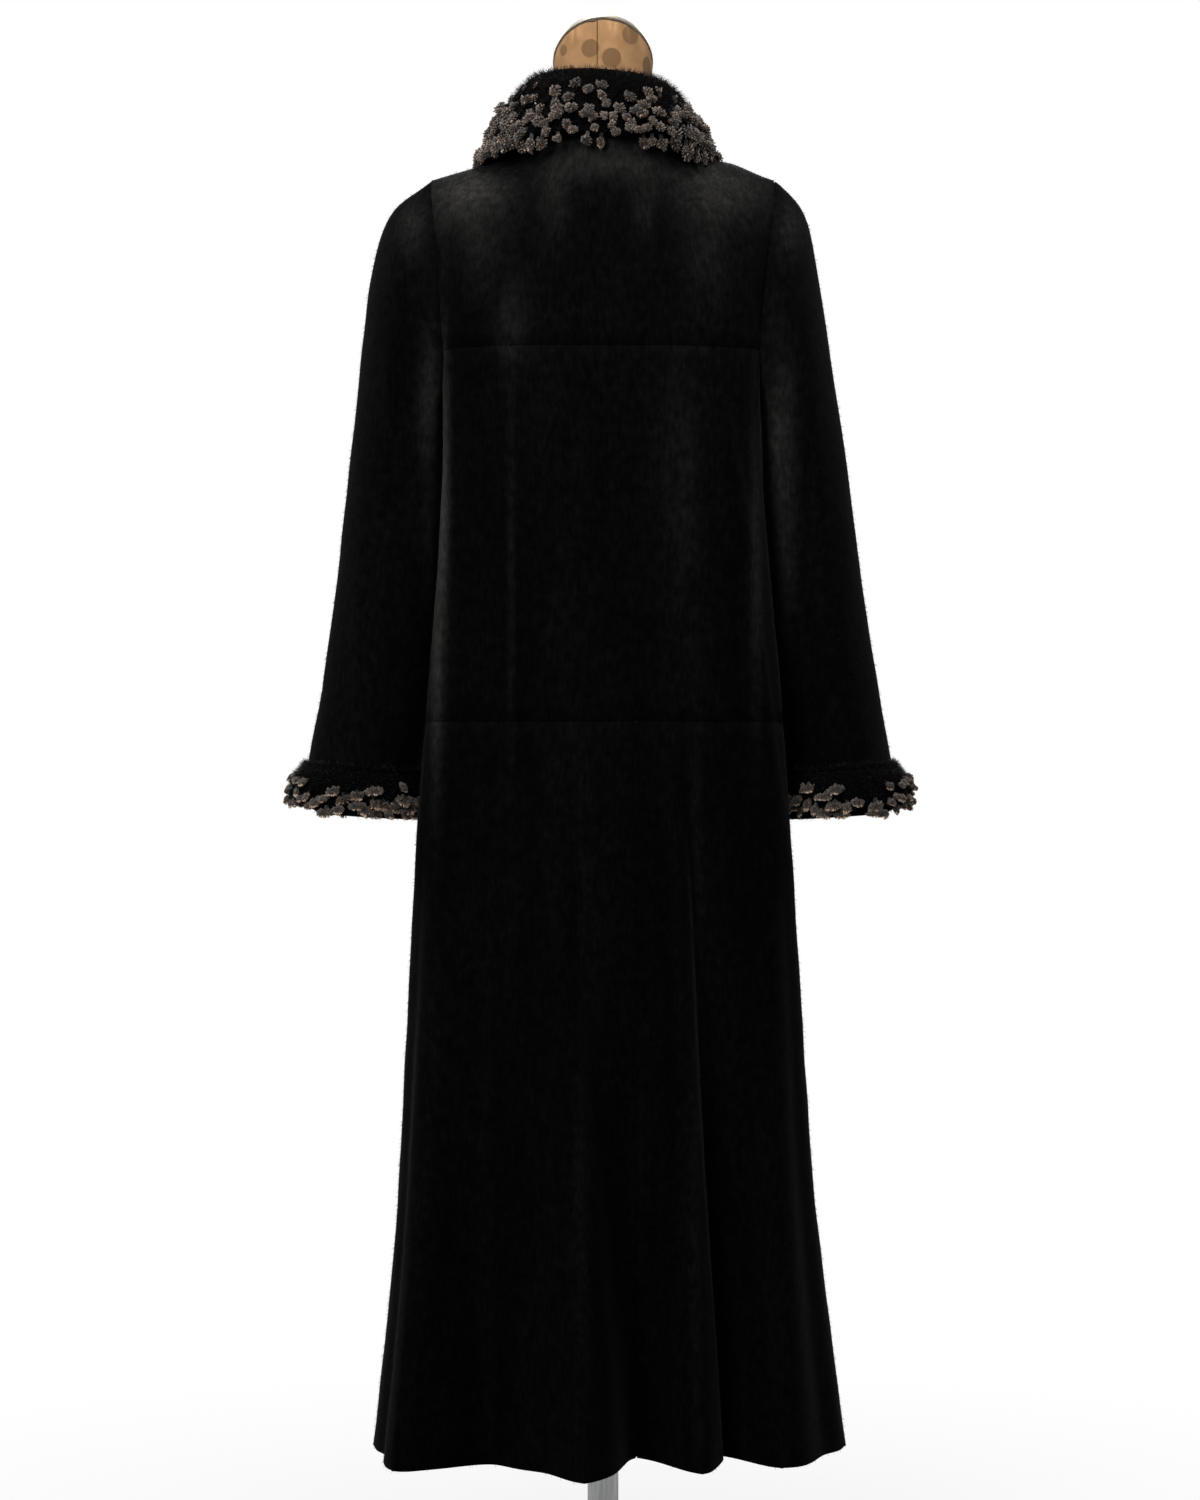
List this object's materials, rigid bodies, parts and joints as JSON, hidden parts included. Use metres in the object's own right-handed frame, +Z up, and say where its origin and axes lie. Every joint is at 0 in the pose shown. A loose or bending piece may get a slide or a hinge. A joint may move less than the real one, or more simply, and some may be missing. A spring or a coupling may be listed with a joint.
{
  "type": "sheared mink coat on limbless dress form",
  "caption": "Long black sheared fur coat with a folded tufted collar and tufted cuffs, worn by a padded limbless dress form on a round foot.",
  "frame": {"origin": "middle of the foot's underside, on the floor", "axes": "+Z up along the pole, the coat's front faces -Y, the wearer's left is +X"},
  "size_m": [0.6646, 0.3949, 1.6146],
  "materials": {
    "sheared_mink": "short sheared fur, black, velvety",
    "tufted_mink": "long black fur with clipped brown-grey tufts",
    "form_cloth": "tan jersey with darker round dots",
    "plate_metal": "pale brushed metal",
    "pole_metal": "brushed steel tube",
    "foot_paint": "black satin paint"
  },
  "bodies": {
    "root": {"back_yoke": "sheared_mink", "back_middle": "sheared_mink", "back_skirt_left": "sheared_mink", "back_skirt_right": "sheared_mink", "front_left": "sheared_mink", "front_right": "sheared_mink", "sleeve_left": "sheared_mink", "sleeve_right": "sheared_mink", "cuff_left": "tufted_mink", "cuff_right": "tufted_mink", "collar": "tufted_mink", "form_body": "form_cloth", "form_neck_plate": "plate_metal", "stand_pole": "pole_metal", "stand_foot": "foot_paint"}
  },
  "joints": []
}
